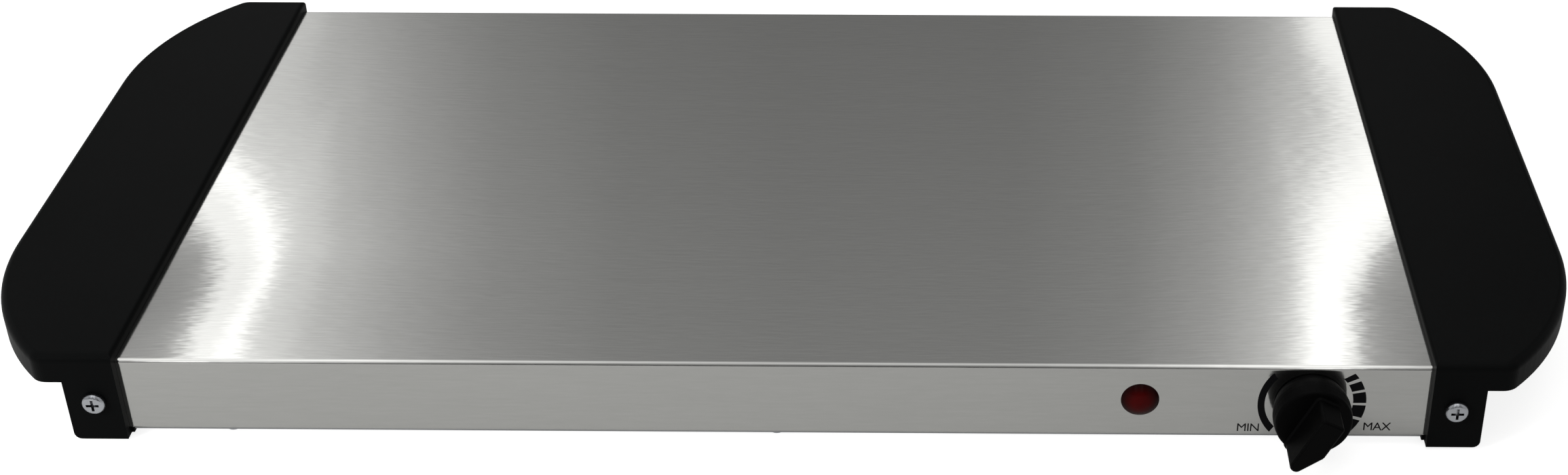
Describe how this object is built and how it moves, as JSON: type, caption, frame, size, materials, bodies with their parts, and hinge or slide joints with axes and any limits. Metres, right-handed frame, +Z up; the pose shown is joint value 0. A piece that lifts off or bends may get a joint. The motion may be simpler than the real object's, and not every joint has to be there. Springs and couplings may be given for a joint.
{
  "type": "electric food warmer tray",
  "caption": "Flat electric buffet warmer with a folded brushed steel warming plate, black moulded end caps with wing grips, a dial knob and a red pilot lamp on the front.",
  "frame": {"origin": "middle of the whole object's bounding box, on the surface that the foot pads stand on", "axes": "+X along the tray towards the knob's end, +Y from front to back, +Z up"},
  "size_m": [0.5652, 0.2944, 0.0361],
  "materials": {
    "steel_plate": "fine brushed satin, grain along the tray",
    "cap_plastic": "moulded black with a fine matte texture",
    "zinc_screw": "bright zinc plating",
    "pad_rubber": "soft black rubber",
    "galvanised_sheet": "plain zinc-coated steel",
    "spring_steel": "dark oiled spring steel",
    "spreader_aluminium": "mill finish",
    "mica_board": "pale gold mica board",
    "heater_alloy": "oxidised resistance ribbon",
    "glass_blanket": "soft white glass fibre",
    "brass_metal": "plain brass",
    "bimetal": "two-layer strip, warm grey",
    "white_ceramic": "unglazed steatite",
    "fuse_case": "tan ceramic case",
    "knob_plastic": "moulded black, slightly smoother than the caps",
    "lens_plastic": "dark red translucent lens",
    "bulb_glass": "clear glass",
    "gland_plastic": "moulded black",
    "block_plastic": "white moulded polyamide",
    "live_sleeve": "brown silicone sleeve",
    "neutral_sleeve": "blue silicone sleeve",
    "earth_sleeve": "yellow-green sleeve",
    "lamp_sleeve": "thin white sleeve"
  },
  "bodies": {
    "tray": {"top_plate": "steel_plate", "left_end_cap": "cap_plastic", "right_end_cap": "cap_plastic", "cap_screws": "zinc_screw", "foot_pads": "pad_rubber", "bottom_pan": "galvanised_sheet", "pan_screws": "zinc_screw", "plate_studs": "galvanised_sheet", "heat_spreader": "spreader_aluminium", "upper_mica": "mica_board", "heater_ribbon": "heater_alloy", "lower_mica": "mica_board", "insulation_blanket": "glass_blanket", "pressure_plate": "galvanised_sheet", "stud_nuts": "zinc_screw", "heater_posts": "brass_metal", "post_bushes": "white_ceramic", "post_nuts": "brass_metal", "thermal_fuse": "fuse_case", "fuse_strap": "galvanised_sheet", "fuse_screws": "zinc_screw", "thermostat_bracket": "galvanised_sheet", "bush_nut": "zinc_screw", "arm_terminal": "brass_metal", "leaf_terminal": "bimetal", "stack_spacers": "white_ceramic", "stack_rivet": "galvanised_sheet", "lamp_lens": "lens_plastic", "lamp_clip": "galvanised_sheet", "neon_bulb": "bulb_glass", "bulb_sleeve": "white_ceramic", "lamp_resistor": "fuse_case", "cord_gland": "gland_plastic", "terminal_block": "block_plastic", "pole_inserts": "brass_metal", "pole_screws": "zinc_screw", "block_screw": "zinc_screw", "earth_tag": "brass_metal", "earth_nut": "brass_metal", "live_lead": "live_sleeve", "fuse_lead": "live_sleeve", "heater_lead": "live_sleeve", "neutral_lead": "neutral_sleeve", "earth_lead": "earth_sleeve", "lamp_leads": "lamp_sleeve"},
    "knob": {"control_knob": "knob_plastic", "knob_clip": "galvanised_sheet", "spindle": "galvanised_sheet", "spindle_ring": "spring_steel"},
    "pin": {"adjusting_pin": "white_ceramic"},
    "arm": {"contact_arm": "brass_metal"},
    "leaf": {"bimetal_leaf": "bimetal"}
  },
  "joints": [
    {"name": "knob_turn", "type": "hinge", "parent": "tray", "child": "knob", "pos_m": [0.184, -0.12205, 0.0174], "axis": [0, 1, 0], "range_deg": [0, 300]},
    {"name": "pin_slide", "type": "slide", "parent": "tray", "child": "pin", "axis": [0, 1, 0], "range_m": [0, 0.0006]},
    {"name": "arm_flex", "type": "hinge", "parent": "tray", "child": "arm", "pos_m": [0.162, -0.10925, 0.0174], "axis": [0, 0, 1], "range_deg": [0, 1.57]},
    {"name": "leaf_bend", "type": "hinge", "parent": "tray", "child": "leaf", "pos_m": [0.162, -0.10615, 0.0174], "axis": [0, 0, 1], "range_deg": [0, 1.2], "stiffness_Nm_per_rad": 0.5}
  ],
  "couplings": [
    {"joint": "pin_slide", "follows": "knob_turn", "m_per_rad": 0.000114},
    {"joint": "arm_flex", "follows": "knob_turn", "ratio": 0.0052}
  ]
}
